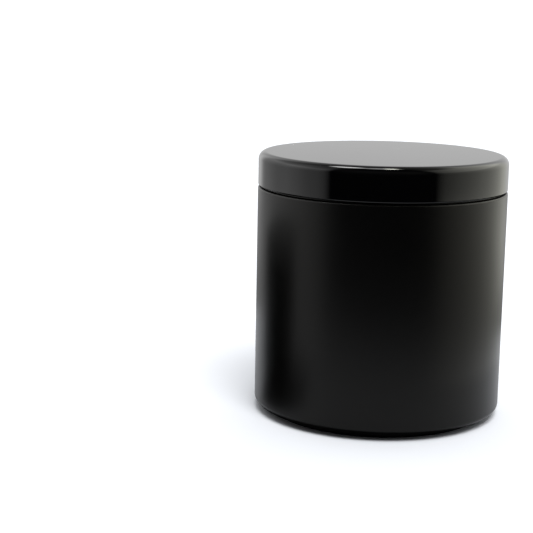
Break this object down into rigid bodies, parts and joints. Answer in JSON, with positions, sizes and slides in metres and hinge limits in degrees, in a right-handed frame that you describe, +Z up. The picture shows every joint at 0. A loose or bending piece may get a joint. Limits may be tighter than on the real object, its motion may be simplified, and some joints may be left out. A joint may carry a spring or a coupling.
{
  "type": "candle tin",
  "caption": "Round seamless candle tin: a satin drawn body with a set-in neck and a gloss slip-on lid of the same width, both with curled edges.",
  "frame": {"origin": "centre of the base, on the surface that the tin stands on", "axes": "+Z up along the tin's axis. The tin is round, so +X and +Y are any two level directions at right angles."},
  "size_m": [0.08, 0.08, 0.0842],
  "materials": {
    "body_lacquer": "satin black lacquer on tinplate",
    "lid_lacquer": "gloss black lacquer on tinplate"
  },
  "bodies": {
    "tin_body": {"tin_body": "body_lacquer"},
    "lid": {"lid": "lid_lacquer"}
  },
  "joints": [
    {"name": "lid_lift", "type": "slide", "parent": "tin_body", "child": "lid", "axis": [0, 0, 1], "range_m": [0, 0.06]}
  ]
}
